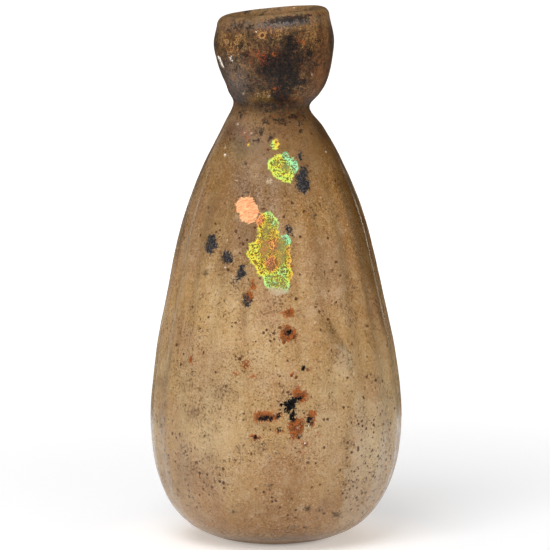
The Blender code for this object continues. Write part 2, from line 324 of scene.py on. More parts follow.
# Gold spots. The chain of long bands along the right outline is painted shade, a deeper colour on the right
# side.
TINTS["gold"] = (
    (318, 66, 22, 56, 0.9, 8), (338, 180, 26, 110, 0.75, -22), (354, 250, 22, 110, 0.6, -17),
    (366, 305, 22, 90, 0.45, -13), (228, 45, 14, 26, 0.7), (300, 475, 60, 50, 0.3), (320, 360, 60, 80, 0.2),
    (310, 215, 60, 90, 0.3), (345, 410, 20, 90, 0.2), (290, 470, 40, 50, 0.6, 35),
    (230, 180, 40, 60, 0.25, 20), (262, 150, 70, 40, 0.2), (275, 526, 150, 34, 0.48), (285, 490, 80, 60, 0.4),
    (352, 507, 44, 60, 0.5, 40),
)
# Grey spots. The ones along the front of the lip are a painted sheen, the reflection of the light overhead.
TINTS["grey"] = (
    (282, 23, 64, 9, 0.8, -6), (234, 80, 28, 40, 0.5, -10), (247, 24, 14, 8, 0.4),
    (232, 26, 24, 12, 0.3, -10), (243, 138, 26, 40, 0.45), (240, 176, 22, 44, 0.25), (216, 385, 60, 60, 0.15),
    (194, 250, 20, 60, 0.15, 10),
)
TINTS["ember"] = (
    (318, 22, 14, 24, 0.6), (322, 36, 10, 20, 0.5), (263, 55, 26, 12, 0.9), (270, 50, 16, 6, 0.8),
    (251, 64, 8, 8, 0.8), (262, 64, 8, 8, 0.6), (302, 42, 14, 9, 0.8, 20), (275, 90, 8, 8, 0.7),
    (284, 99, 8, 6, 0.7), (268, 30, 16, 8, 0.5), (300, 60, 12, 40, 0.35), (246, 137, 16, 14, 0.8),
    (286, 118, 60, 10, 0.4), (262, 35, 12, 12, 0.4), (296, 14, 30, 8, 0.4), (280, 192, 14, 14, 0.45),
    (262, 207, 10, 30, 0.35),
)
# Amber spots. The chain of bands along the right outline is painted shade, a deeper colour on the right side.
TINTS["amber"] = (
    (324, 134, 18, 60, 0.75, -34), (340, 160, 12, 70, 0.8, -28), (349, 185, 12, 80, 0.85, -22),
    (357, 212, 12, 80, 0.8, -19), (364, 242, 11, 80, 0.8, -17), (372, 275, 10, 80, 0.75, -15),
    (380, 308, 9, 70, 0.6, -14), (312, 122, 30, 26, 0.5), (275, 534, 130, 18, 0.2),
    (200, 175, 6, 70, 0.4, 24), (184, 225, 6, 80, 0.4, 14), (285, 490, 70, 60, 0.12),
    (352, 510, 50, 40, 0.15, 40), (322, 415, 50, 80, 0.08),
)
TINTS["tawny"] = (
    (321, 70, 16, 46, 0.75, 8), (314, 92, 14, 22, 0.5, 30), (325, 44, 8, 40, 0.35), (300, 100, 30, 10, 0.3),
    (232, 108, 10, 16, 0.3, 20),
)
TINTS["lace"] = (
    (232, 42, 36, 44, 0.9), (272, 34, 60, 18, 0.6, -5), (316, 34, 22, 40, 0.5), (304, 46, 24, 20, 0.5),
    (300, 88, 30, 26, 0.4), (240, 76, 30, 20, 0.35), (262, 92, 30, 14, 0.4), (250, 136, 40, 34, 0.3),
)
TINTS["pepper"] = (
    (368, 375, 9, 15), (380, 410, 14, 40, 0.8), (360, 422, 20, 14), (352, 480, 24, 36), (370, 450, 44, 64),
    (358, 497, 28, 26), (345, 510, 20, 20, 0.4), (200, 465, 56, 44, 0.45), (272, 336, 18, 20),
    (215, 480, 60, 40, 0.25), (290, 480, 80, 40, 0.15), (170, 440, 30, 60, 0.4), (245, 345, 90, 60, 0.1),
    (262, 460, 60, 30, 0.4), (300, 395, 60, 60, 0.4), (240, 240, 60, 70, 0.3), (320, 300, 30, 40, 0.4),
    (230, 90, 30, 30, 0.5),
)

# Tints that go all the way round, as steps of (height in millimetres, strength).
HEIGHT_TINTS = {
    "lace": ((0, 0), (84, 0), (94, 0.15), (109, 0.25)),
    "dark": (
        (0, 0.95), (1, 0.7), (2.5, 0.2), (5, 0), (60, 0), (78, 0.2), (86, 0.5), (90, 0.95), (97, 0.85),
        (105, 0.8), (109, 0.55),
    ),
    "gold": ((0, 0.4), (8, 0.3), (18, 0), (50, 0), (75, 0.25), (90, 0.2), (95, 0.1), (109, 0.1)),
    "red": ((0, 0), (88, 0), (94, 0.35), (104, 0.3), (107, 0.1), (109, 0)),
    "olive": ((0, 0.3), (3, 0.15), (8, 0), (109, 0)),
    "pepper": ((0, 0.04), (109, 0.04)),
}

# How far each kind of mark stands out of the glass, or is sunk in it, in millimetres.
MARK_RISES = {
    "crust": 0.14, "tar": 0.1, "rust": 0.04, "flake": 0.06, "film": 0.03, "salmon": 0.03, "pit": -0.25,
}
MARK_EDGE = (-0.15, 0.35)  # it rises between these distances inside its outline
SWELLS = ((0.14, 13.0), (0.04, 3.4))  # rise and size of the glass's unevenness, in millimetres
FLAT_FOOT = (0.5, 3.0)  # the relief fades out between these heights

# Small marks strewn over the hidden side, as (kind, number, least and greatest size in millimetres).
HIDDEN_MARKS = (
    ("crust", 16, 0.6, 2.4),
    ("rust", 18, 0.5, 2.2),
    ("film", 2, 1.4, 2.4),
    ("pit", 8, 0.8, 1.8),
)
HIDDEN_TURNS = (0.1 * math.pi, 0.9 * math.pi)
HIDDEN_HEIGHTS = (8.0, 100.0)


def smooth_step(value, start, end):
    """0 before start, 1 after end, and a smooth rise between them."""
    share = np.clip((value - start) / (end - start), 0.0, 1.0)
    return share * share * (3 - 2 * share)


def smooth_line(points, rows):
    """Points along a centripetal Catmull-Rom curve through the given ones, with so many rows to each span."""
    points = np.array(points, float)
    ends = (2 * points[0] - points[1], 2 * points[-1] - points[-2])
    held = np.vstack([ends[0], points, ends[1]])
    line = [points[0]]
    for a, b, c, d in zip(held, held[1:], held[2:], held[3:]):
        knots = np.cumsum([0.0] + [math.sqrt(np.linalg.norm(q - p)) for p, q in ((a, b), (b, c), (c, d))])
        for t in np.linspace(knots[1], knots[2], rows + 1)[1:]:
            near = [
                ((knots[i + 1] - t) * p + (t - knots[i]) * q) / (knots[i + 1] - knots[i])
                for i, (p, q) in enumerate(((a, b), (b, c), (c, d)))
            ]
            wide = [
                ((knots[i + 2] - t) * near[i] + (t - knots[i]) * near[i + 1]) / (knots[i + 2] - knots[i])
                for i in range(2)
            ]
            line.append(((knots[2] - t) * wide[0] + (t - knots[1]) * wide[1]) / (knots[2] - knots[1]))
    return np.array(line)


def stretch(curve, foot, head, narrow, wide):
    """A stretch of the outline as (radius, height) points."""
    return [(narrow + widening * (wide - narrow), foot + rise * (head - foot)) for rise, widening in curve]


def evenly(line, step):
    """The same line with its points about a step apart."""
    lengths = np.concatenate([[0.0], np.cumsum(np.hypot(*np.diff(line, axis=0).T))])
    at = np.linspace(0.0, lengths[-1], round(lengths[-1] / step) + 1)
    return np.column_stack([np.interp(at, lengths, line[:, axis]) for axis in range(2)])


def outer_wall():
    """(radius, height) up the outside, from the edge of the standing ring to the outer side of the lip."""
    heel = stretch(HEEL_CURVE, 0.0, BELLY_HEIGHT, BASE_RADIUS, BELLY_RADIUS)
    shoulder = stretch(SHOULDER_CURVE, BELLY_HEIGHT, NECK_HEIGHT, NECK_RADIUS, BELLY_RADIUS)
    cup = stretch(CUP_CURVE, NECK_HEIGHT, NECK_HEIGHT + CUP_RISE, NECK_RADIUS, CUP_RADIUS)
    lip = (CREST_RADIUS + LIP_RADIUS, NECK_HEIGHT + RIM_RISE - LIP_RADIUS)
    return smooth_line([*heel, *shoulder[1:], *cup[1:], lip], CURVE_ROWS)


def base_line():
    """(radius, height) under the base, from near its middle out to the edge of the standing ring."""
    shares = np.linspace(0.0, 1.0, CURVE_ROWS)
    kick = np.column_stack([KICK_RADIUS * shares, KICK_DEPTH * (1 - smooth_step(shares, 0.0, 1.0))])
    return np.vstack([kick, [(BASE_RADIUS, 0.0)]])


def lip_line():
    """(radius, height) over the rolled lip, from its outer side to its inner side."""
    turns = np.linspace(0.0, math.pi, LIP_ROWS)
    centre = NECK_HEIGHT + RIM_RISE - LIP_RADIUS
    return np.column_stack([CREST_RADIUS + LIP_RADIUS * np.cos(turns), centre + LIP_RADIUS * np.sin(turns)])


def wall_at(height):
    """Thickness of the glass at a height on the outside."""
    body = BASE_WALL + (BODY_WALL - BASE_WALL) * smooth_step(height, 0.0, BELLY_HEIGHT)
    neck = body + (NECK_WALL - body) * smooth_step(height, (BELLY_HEIGHT + NECK_HEIGHT) / 2, NECK_HEIGHT)
    return neck + (CUP_WALL - neck) * smooth_step(height, NECK_HEIGHT, NECK_HEIGHT + CUP_RISE)


def inner_wall(line):
    """The inside of the glass: the outer line, moved in by the thickness and turned to run downwards."""
    along = np.gradient(line, axis=0)
    along /= np.linalg.norm(along, axis=1)[:, None]
    inward = np.column_stack([-along[:, 1], along[:, 0]])
    return (line + inward * wall_at(line[:, 1])[:, None])[::-1]


def sideways(height):
    """How far the middle of the ring at a height stands off the belly's axis along X."""
    stations = (
        (0.0, BASE_SET),
        (BELLY_HEIGHT, 0.0),
        (NECK_HEIGHT - PINCH_HEIGHT, SHOULDER_SET),
        (NECK_HEIGHT, NECK_SET),
        (NECK_HEIGHT + PINCH_HEIGHT, CUP_SET),
        (NECK_HEIGHT + RIM_RISE, RIM_SET),
    )
    shift = BASE_SET
    for (low, before), (high, after) in zip(stations, stations[1:]):
        shift = shift + (after - before) * smooth_step(height, low, high)
    return shift


def slope(height):
    """How much a ring at a height climbs for each unit across, towards +X."""
    near = 2 * PINCH_HEIGHT
    below = smooth_step(height, NECK_HEIGHT - near, NECK_HEIGHT)
    above = smooth_step(height, NECK_HEIGHT, NECK_HEIGHT + near)
    rim = smooth_step(height, NECK_HEIGHT + CUP_RISE / 2, NECK_HEIGHT + RIM_RISE)
    return NECK_SLOPE * (below - above) + RIM_SLOPE * rim


def rib_weight(height):
    """How much of the ribs' depth shows at a height, where the film has filled them low down."""
    rising = smooth_step(height, RIB_FOOT, RIB_FULL_FROM) * (1 - smooth_step(height, RIB_FULL_TO, RIB_TOP))
    return rising * (1 - RIB_FILLING * (1 - smooth_step(height, RIB_FILLED_TO, RIB_CLEAR_FROM)))


def rib_wave(height, turn):
    """The ribs at a height: 1 on a crest, -1 in a trough, and 0 where they have faded out."""
    return rib_weight(height) * np.cos(RIB_COUNT * (turn - RIB_TURN))


def placed(line, turns, ribbed):
    """A grid of points: a ring for each (radius, height) of the line, with a point for each turn."""
    radius, height = line[:, :1], line[:, 1:]
    body = 1 - smooth_step(height, BELLY_HEIGHT, NECK_HEIGHT)
    reach = radius * (1 + OVAL * body * np.cos(2 * turns))
    if ribbed:
        reach = reach + RIB_DEPTH / 2 * rib_wave(height, turns)
    x = reach * np.cos(turns)
    points = (x + sideways(height), reach * np.sin(turns), height + slope(height) * x)
    return np.stack(np.broadcast_arrays(*points), axis=-1)


def facing(grid):
    """Unit normals of a grid whose rows run up the outside and whose columns run anticlockwise."""
    up = np.gradient(grid, axis=0)
    round_it = np.roll(grid, -1, axis=1) - np.roll(grid, 1, axis=1)
    normals = np.cross(round_it, up)
    return normals / np.maximum(np.linalg.norm(normals, axis=-1, keepdims=True), 1e-12)


def swell(grid, size, seed):
    """Smooth noise from -1 to 1 over a grid of points, with swells of about this size."""
    shift = Vector((17.0 * seed, -9.0 * seed, 5.0 * seed))
    points = grid.reshape(-1, 3) / size
    return np.array([noise.noise(Vector(p) + shift) for p in points]).reshape(grid.shape[:-1])


def in_picture(points):
    """How far across and down the photograph the camera sees each point, in pixels."""
    away = points - CAMERA_PLACE
    nearer = CAMERA_DISTANCE / -(away @ TO_CAMERA)
    across = PICTURE_SIDE / 2 + away[..., 0] * nearer / PIXEL
    down = PICTURE_SIDE / 2 - (away @ PICTURE_UP) * nearer / PIXEL
    return across, down


def oval(across, down, width, height, lean=0, corners=14):
    """The outline of an oval as a ring of corners."""
    tilt = math.radians(lean)
    ring = []
    for turn in np.linspace(0.0, 2 * math.pi, corners, endpoint=False):
        x, y = width / 2 * math.cos(turn), height / 2 * math.sin(turn)
        right = x * math.cos(tilt) - y * math.sin(tilt)
        lower = x * math.sin(tilt) + y * math.cos(tilt)
        ring.append((across + right, down + lower))
    return ring


def outline_distance(x, y, corners):
    """The distance to a closed outline in its own plane, below 0 inside it."""
    nearest = np.full(x.shape, np.inf)
    inside = np.zeros(x.shape, dtype=bool)
    for (x0, y0), (x1, y1) in zip(corners, [*corners[1:], corners[0]]):
        run, rise = x1 - x0, y1 - y0
        share = np.clip(((x - x0) * run + (y - y0) * rise) / (run**2 + rise**2), 0.0, 1.0)
        nearest = np.minimum(nearest, np.hypot(x - x0 - share * run, y - y0 - share * rise))
        if rise:
            inside ^= ((y0 > y) != (y1 > y)) & (x < x0 + (y - y0) * run / rise)
    return np.where(inside, -nearest, nearest)


def marks_distance(x, y, marks, step):
    """The distance in millimetres to the nearest mark. Marks are drawn in steps of this many."""
    found = np.full(x.shape, FAR)
    for mark in marks:
        corners = mark if isinstance(mark[0], tuple) else oval(*mark)
        found = np.minimum(found, step * outline_distance(x, y, corners))
    return found


def soft_spot(across, down, x, y, width, height, strength=1, lean=0):
    """How strongly a soft spot covers each point."""
    tilt = math.radians(lean)
    along = (across - x) * math.cos(tilt) + (down - y) * math.sin(tilt)
    away = (down - y) * math.cos(tilt) - (across - x) * math.sin(tilt)
    spread = (along / (width / 2)) ** 2 + (away / (height / 2)) ** 2
    return strength * np.exp(-SPOT_FALL * spread)


def soft_spots(across, down, spots):
    """The strongest of some soft spots at each point."""
    return np.max([soft_spot(across, down, *spot) for spot in spots], axis=0)


def film_hues(across, down):
    """The hue of the film at each point, drawn from the hues nearest to it."""
    total = np.full(across.shape, 1e-9)
    mixed = PLAIN_HUE * total
    for x, y, reach, hue in FILM_HUES:
        weight = np.exp(-((across - x) ** 2 + (down - y) ** 2) / reach**2)
        total += weight
        mixed += weight * hue
    return mixed / total


def hidden_marks(kind, number, least, greatest, seed):
    """Outlines of small ragged marks on the hidden side, in its unrolled plane."""
    chance = np.random.default_rng(seed)
    marks = []
    for _ in range(number):
        turn = chance.uniform(*HIDDEN_TURNS)
        height = chance.uniform(*HIDDEN_HEIGHTS)
        size = least + (greatest - least) * chance.random() ** 2
        longer = size * chance.uniform(0.8, 1.6)
        ring = oval(BELLY_RADIUS * turn, height, size, longer, chance.uniform(-40, 40), 9)
        uneven = size / 10
        marks.append(tuple((x + chance.normal(0, uneven), y + chance.normal(0, uneven)) for x, y in ring))
    return marks


def grid_faces(rows):
    """Quads between neighbouring rows of a grid."""
    row, column = np.meshgrid(np.arange(rows - 1), np.arange(COLUMNS), indexing="ij")
    after = (column + 1) % COLUMNS
    corners = [(row + up) * COLUMNS + side for up, side in ((0, column), (0, after), (1, after), (1, column))]
    return np.stack(corners, axis=-1).reshape(-1, 4).tolist()


def ring_turns():
    """The turn of each column, with the columns closer together towards the camera."""
    even = 2 * math.pi * np.arange(COLUMNS) / COLUMNS
    return even + FRONT_CROWDING * np.cos(even)


def mark_fields(outside, normals, turns):
    """Distances to the marks for each point of the outside, in millimetres."""
    across, down = in_picture(outside)
    in_sight = normals @ TO_CAMERA > SIGHT_EDGE
    fields = {name: marks_distance(across, down, marks, PIXEL) for name, marks in MARKS.items()}
    fields = {name: np.where(in_sight, values, FAR) for name, values in fields.items()}
    rolled_out = BELLY_RADIUS * np.broadcast_to(turns % (2 * math.pi), outside.shape[:-1])
    for seed, (kind, *rest) in enumerate(HIDDEN_MARKS):
        strewn = marks_distance(rolled_out, outside[..., 2], hidden_marks(kind, *rest, seed), 1.0)
        fields[kind] = np.minimum(fields[kind], strewn)
    fields["film_hue"] = np.where(in_sight, film_hues(across, down), PLAIN_HUE)
    fields["bare"] = soft_spots(across, down, BARE_PLACES)
    return fields


def tint_fields(grid, turns):
    """How strongly each tint shows at each point, inside and outside."""
    across, down = in_picture(grid)
    height = grid[..., 2]
    near_side = 1 - smooth_step(grid[..., 1], 0.0, HIDDEN_FADE)
    fields = {name: near_side * soft_spots(across, down, spots) for name, spots in TINTS.items()}
    for name, steps in HEIGHT_TINTS.items():
        by_height = np.interp(height, *zip(*steps))
        fields[name] = 1 - (1 - fields[name]) * (1 - by_height)
    # The ribs' wave, which paints shade into their troughs.
    fields["rib"] = rib_wave(height, np.broadcast_to(turns, height.shape)) * swell(grid, RIB_SWELL, 5)
    return fields


def add_object(name, data):
    """A new object in the scene."""
    made = bpy.data.objects.new(name, data)
    bpy.context.scene.collection.objects.link(made)
    return made


def make_bottle():
    turns = ring_turns()
    base = evenly(base_line()[1:], OUTER_STEP)
    wall = evenly(outer_wall(), OUTER_STEP)
    lip = evenly(lip_line(), OUTER_STEP)
    within = evenly(np.vstack([base_line()[1:-1], outer_wall()[:-CURVE_ROWS]]), INNER_STEP)
    grid = np.vstack([
        placed(base, turns, False),
        placed(wall[1:], turns, True),
        placed(lip[1:], turns, False),
        placed(inner_wall(within), turns, False),
    ])
    rows = len(grid)
    outer_rows = len(base) + len(wall) - 1 + len(lip) - 1
    outside = grid[:outer_rows]
    normals = facing(outside)
    marks = mark_fields(outside, normals, turns)
    tints = tint_fields(grid, turns)

    relief = sum(rise * swell(outside, size, seed) for seed, (rise, size) in enumerate(SWELLS, 1))
    for name, rise in MARK_RISES.items():
        relief += rise * smooth_step(-marks[name], *MARK_EDGE)
    standing = smooth_step(outside[..., 2], *FLAT_FOOT)
    grid[:outer_rows] = outside + normals * (relief * standing)[..., None]

    below = (BASE_SET, 0.0, KICK_DEPTH)
    above = (BASE_SET, 0.0, grid[-1, :, 2].mean())
    points = np.vstack([grid.reshape(-1, 3), [below, above]])
    faces = grid_faces(rows)
    under, last = len(points) - 2, (rows - 1) * COLUMNS
    for column in range(COLUMNS):
        after = (column + 1) % COLUMNS
        faces.append((after, column, under))
        faces.append((last + column, last + after, under + 1))

    mesh = bpy.data.meshes.new("bottle_glass")
    mesh.from_pydata((points * UNIT).tolist(), [], faces)
    for name, values in {**marks, **tints}.items():
        filled = np.full(len(points), FAR if name in marks else 0.0)
        filled[: values.size] = values.reshape(-1)
        mesh.attributes.new(name, "FLOAT", "POINT").data.foreach_set("value", filled)
    mesh.shade_smooth()

    for finish in (dulled_glass("dulled_glass", False), dulled_glass("marked_glass", True), inner_film()):
        mesh.materials.append(finish)
    inside = len(mesh.materials) - 1
    near = np.any([marks[name] < margin for name, margin in MARK_MARGINS.items()], axis=0)
    near |= tints["dark"][:outer_rows] > OPAQUE_DARK_FROM
    finishes = np.zeros(len(faces), dtype=np.int32)
    finishes[: (outer_rows - 1) * COLUMNS] = (near[:-1] | near[1:]).reshape(-1)
    finishes[outer_rows * COLUMNS : last] = inside
    finishes[last + 1 :: 2] = inside
    mesh.polygons.foreach_set("material_index", finishes)
    return add_object("bottle_glass", mesh)


def tone(red, green, blue):
    """A colour in linear light from its 0 to 255 screen values."""
    shares = [value / 255 for value in (red, green, blue)]
    return tuple(s / 12.92 if s <= 0.04045 else ((s + 0.055) / 1.055) ** 2.4 for s in shares) + (1.0,)


class Nodes:
    """A node tree, with methods that add nodes and give back their outputs."""

    def __init__(self, tree):
        self.tree = tree

    def feed(self, socket, value):
        if isinstance(value, bpy.types.NodeSocket):
            self.tree.links.new(value, socket)
        else:
            socket.default_value = value

    def add(self, kind, values, output=0, **settings):
        node = self.tree.nodes.new("ShaderNode" + kind)
        for name, setting in settings.items():
            setattr(node, name, setting)
        for key, value in values.items():
            self.feed(node.inputs[key], value)
        return node.outputs[output]

    def math(self, operation, first, second=0.0):
        return self.add("Math", {0: first, 1: second}, operation=operation)

    def plus(self, first, second):
        return self.math("ADD", first, second)

    def less(self, first, second):
        return self.math("SUBTRACT", first, second)

    def times(self, first, second):
        return self.math("MULTIPLY", first, second)

    def larger(self, first, second):
        return self.math("MAXIMUM", first, second)

    def blend(self, factor, first, second, how="MIX"):
        values = {0: factor, 6: first, 7: second}
        return self.add("Mix", values, output=2, data_type="RGBA", blend_type=how)

    def band(self, value, start, end, low=0.0, high=1.0):
        """low before start, high after end, and a smooth change between them."""
        values = {"Value": value, "From Min": start, "From Max": end, "To Min": low, "To Max": high}
        return self.add("MapRange", values, interpolation_type="SMOOTHSTEP")

    def grain(self, places, scale, detail=4.0, roughness=0.55):
        values = {"Vector": places, "Scale": scale, "Detail": detail, "Roughness": roughness}
        return self.add("TexNoise", values)

    def field(self, name):
        return self.add("Attribute", {}, output=2, attribute_name=name)

    def scaled(self, places, x, y, z):
        return self.add("VectorMath", {0: places, 1: (x, y, z)}, operation="MULTIPLY")

    def ramp(self, value, stops):
        """A colour that runs through the stops, each a place and a colour."""
        node = self.tree.nodes.new("ShaderNodeValToRGB")
        while len(node.color_ramp.elements) < len(stops):
            node.color_ramp.elements.new(1.0)
        for element, (place, colour) in zip(node.color_ramp.elements, stops):
            element.position = place
            element.color = colour
        self.feed(node.inputs[0], value)
        return node.outputs[0]

    def dots(self, places, scale, chance, least, most):
        """Small uneven dots of mixed sizes, in some of the cells of a scattered pattern."""
        cell = self.tree.nodes.new("ShaderNodeTexVoronoi")
        self.feed(cell.inputs["Vector"], places)
        self.feed(cell.inputs["Scale"], scale)
        drawn = self.add("SeparateColor", {0: cell.outputs["Color"]})
        above = self.less(self.plus(drawn, chance), 1.0)
        there = self.math("GREATER_THAN", above, 0.0)
        chosen = self.add("SeparateColor", {0: cell.outputs["Color"]}, output=1)
        size = self.band(chosen, 0.0, 1.0, least, most)
        ragged = self.times(self.less(self.grain(places, 4.0, 2), 0.5), 0.7)
        away = self.plus(cell.outputs["Distance"], ragged)
        return self.times(there, self.band(self.less(size, away), 0.0, 0.07))


class Look(Nodes):
    """A material of one Principled shader."""

    def __init__(self, name):
        self.material = bpy.data.materials.new(name)
        self.material.use_nodes = True
        super().__init__(self.material.node_tree)
        self.shader = self.tree.nodes["Principled BSDF"]
        self.colour = None

    def set(self, **values):
        """Sets the shader's sockets, named with low lines for spaces."""
        for name, value in values.items():
            self.feed(self.shader.inputs[name.replace("_", " ")], value)

    def coat(self, amount, tint, how="MIX"):
        """Lays a tint over the colour so far."""
        self.colour = self.blend(amount, self.colour, tint, how)

    def fill(self, tint, density):
        """Fills the solid with glass that takes up light."""
        absorb = self.add("VolumeAbsorption", {"Color": tint, "Density": density})
        self.feed(self.tree.nodes["Material Output"].inputs["Volume"], absorb)


GOLDEN_TAN = tone(204, 160, 101)
PINKISH_TAN = tone(200, 156, 110)
PALE_TAN = tone(230, 198, 146)
CREAM = tone(244, 222, 184)
BROWN = tone(132, 92, 52)
DARK_BROWN = tone(32, 20, 10)
REDDISH_BROWN = tone(128, 84, 58)
OLIVE = tone(102, 76, 30)
GOLD = tone(172, 112, 36)
AMBER = tone(106, 64, 4)
TAWNY = tone(118, 72, 34)
OCHRE = tone(144, 86, 38)
OLD_GOLD = tone(188, 142, 84)
GREY = tone(98, 98, 99)
EMBER = tone(164, 66, 22)
SOOTY_BROWN = tone(26, 17, 12)
SPECK = tone(84, 42, 16)
# Soot, and the painted shade under the front of the lip.
SOOT_AND_SHADE = (tone(14, 13, 14), tone(42, 38, 38))
CHARCOAL = (tone(24, 23, 25), tone(82, 78, 78))
RUST = (tone(152, 76, 18), tone(64, 30, 10))
TAR = (tone(10, 9, 10), tone(40, 36, 36))
FLAKE = tone(170, 148, 122)
# The near-white of the painted highlights.
PAINTED_HIGHLIGHT = tone(250, 244, 232)
WORM_BROWN = tone(86, 60, 22)
RIM_STOPS = ((0.0, tone(144, 220, 160)), (0.4, tone(206, 214, 80)), (0.8, tone(226, 160, 90)))
FILM_SHADE = tone(98, 96, 62)
UNDER_FILM = tone(138, 94, 56)
SALMON = (tone(228, 176, 128), tone(206, 128, 86))
FILM_STOPS = (
    (0.0, tone(146, 216, 164)),
    (0.22, tone(180, 214, 92)),
    (0.45, tone(216, 198, 62)),
    (0.65, tone(216, 154, 64)),
    (0.85, tone(216, 134, 90)),
    (1.0, tone(176, 92, 66)),
)
SALMON_LEAN = math.radians(30)
# The colours of the tints, in the order in which they lie over each other.
TINT_COLOURS = (
    ("pale", PALE_TAN), ("gold", GOLD), ("red", REDDISH_BROWN), ("amber", AMBER),
    ("dark", DARK_BROWN), ("tawny", TAWNY), ("olive", OLIVE), ("grey", GREY),
)
GLASS_IOR = 1.5
GLASS_TINT = tone(226, 190, 120)
GLASS_DENSITY = 250.0
OUTER_CLEARNESS = 0.45
INNER_CLEARNESS = 0.4


def millimetres(look):
    """The object's own coordinates in this script's millimetres."""
    places = look.add("TexCoord", {}, output=3)
    return look.scaled(places, 1 / UNIT, 1 / UNIT, 1 / UNIT)


def lay_film(look, places):
    """Lays on the clouded tan of the weathered glass, with its soft tints, some of them painted light and
    shade, and painted shade in the ribs' troughs.
    """
    broad = look.grain(places, 0.09, 3)
    cloudy = look.grain(places, 0.33, 6, 0.65)
    mottled = look.grain(places, 2.6, 3, 0.85)
    gilded = look.grain(look.scaled(places, 1, 1.01, 0.99), 1.5, 4, 0.7)
    streaks = look.grain(look.scaled(places, 1, 1, 0.06), 0.5, 4)
    dark = look.field("dark")
    look.colour = look.blend(look.band(broad, 0.4, 0.62), GOLDEN_TAN, PINKISH_TAN)
    look.coat(look.band(streaks, 0.42, 0.7, 0.0, 0.4), PALE_TAN)
    # Browner in the ribs' troughs: painted shade.
    look.coat(look.band(look.field("rib"), 0.0, -0.6, 0.0, 0.25), BROWN)
    for name, tint in TINT_COLOURS:
        look.coat(look.field(name), tint)
    look.coat(look.band(cloudy, 0.5, 0.7, 0.0, 0.3), BROWN)
    pale = look.band(look.larger(dark, look.field("amber")), 0.0, 0.5, 1.0, 0.1)
    look.coat(look.times(look.band(cloudy, 0.5, 0.3, 0.0, 0.25), pale), CREAM)
    lace = look.times(look.field("lace"), look.band(dark, 0.25, 0.6))
    golden = look.times(look.band(gilded, 0.52, 0.66), look.band(lace, 0.0, 1.0, 0.2, 0.7))
    look.coat(look.times(golden, look.band(dark, 0.25, 0.8)), OCHRE)
    darkened = look.band(look.plus(gilded, look.times(cloudy, 0.8)), 0.86, 0.74)
    look.coat(look.times(darkened, look.band(dark, 0.25, 0.8, 0.0, 0.75)), SOOTY_BROWN)
    worm = look.math("ABSOLUTE", look.less(look.grain(places, 0.95, 4, 0.6), 0.5))
    worm = look.times(look.band(worm, 0.026, 0.01), look.band(cloudy, 0.44, 0.54))
    look.coat(look.times(worm, lace), OLD_GOLD)
    dim = look.band(mottled, 0.5, 0.68, 1.0, 0.62)
    look.coat(1.0, look.add("CombineColor", {0: dim, 1: dim, 2: dim}), "MULTIPLY")
    look.coat(look.times(look.band(mottled, 0.49, 0.34, 0.0, 0.5), pale), CREAM)


def inner_film():
    """The film on the inside of the glass, which gives it much of its tan."""
    look = Look("inner_film")
    lay_film(look, millimetres(look))
    look.set(Base_Color=look.colour, Roughness=0.6, IOR=GLASS_IOR, Transmission_Weight=INNER_CLEARNESS)
    look.fill(GLASS_TINT, GLASS_DENSITY)
    return look.material


def iridescent(look, places):
    """The flaking films, with fine wandering cracks, bright lace where they are worn, and a rim."""
    wander = look.times(look.less(look.grain(places, 1.6, 4, 0.7), 0.5), 1.1)
    colour = look.ramp(look.plus(look.field("film_hue"), wander), FILM_STOPS)
    worn = look.larger(look.field("bare"), look.band(look.grain(places, 0.5, 2), 0.5, 0.62, 0.0, 0.5))
    inward = look.band(look.field("film"), -0.1, -0.5)
    ridge = look.math("ABSOLUTE", look.less(look.grain(places, 1.9, 3), 0.5))
    thread = look.times(look.band(worn, 0.0, 0.8, 0.055, 0.005), look.band(inward, 0.0, 1.0, 2.0, 1.0))
    gap = look.band(look.less(ridge, thread), -0.01, 0.014, 0.0, 0.9)
    ground = look.blend(look.band(look.grain(places, 0.8), 0.42, 0.58), FILM_SHADE, UNDER_FILM)
    ground = look.blend(look.band(worn, 0.2, 0.8), WORM_BROWN, ground)
    colour = look.blend(gap, colour, ground)
    rim = look.band(look.field("film"), -0.35, -0.12, 0.0, 0.4)
    return look.blend(rim, colour, look.ramp(look.field("film_hue"), RIM_STOPS))


def salmon_film(look, places):
    """The salmon patch, with fine slanting ripples."""
    turned = look.add("VectorRotate", {"Vector": places, "Angle": SALMON_LEAN}, rotation_type="Y_AXIS")
    ripple = look.grain(look.scaled(turned, 0.6, 0.6, 2.4), 1.6, 3, 0.7)
    return look.blend(look.band(ripple, 0.4, 0.6), *SALMON)


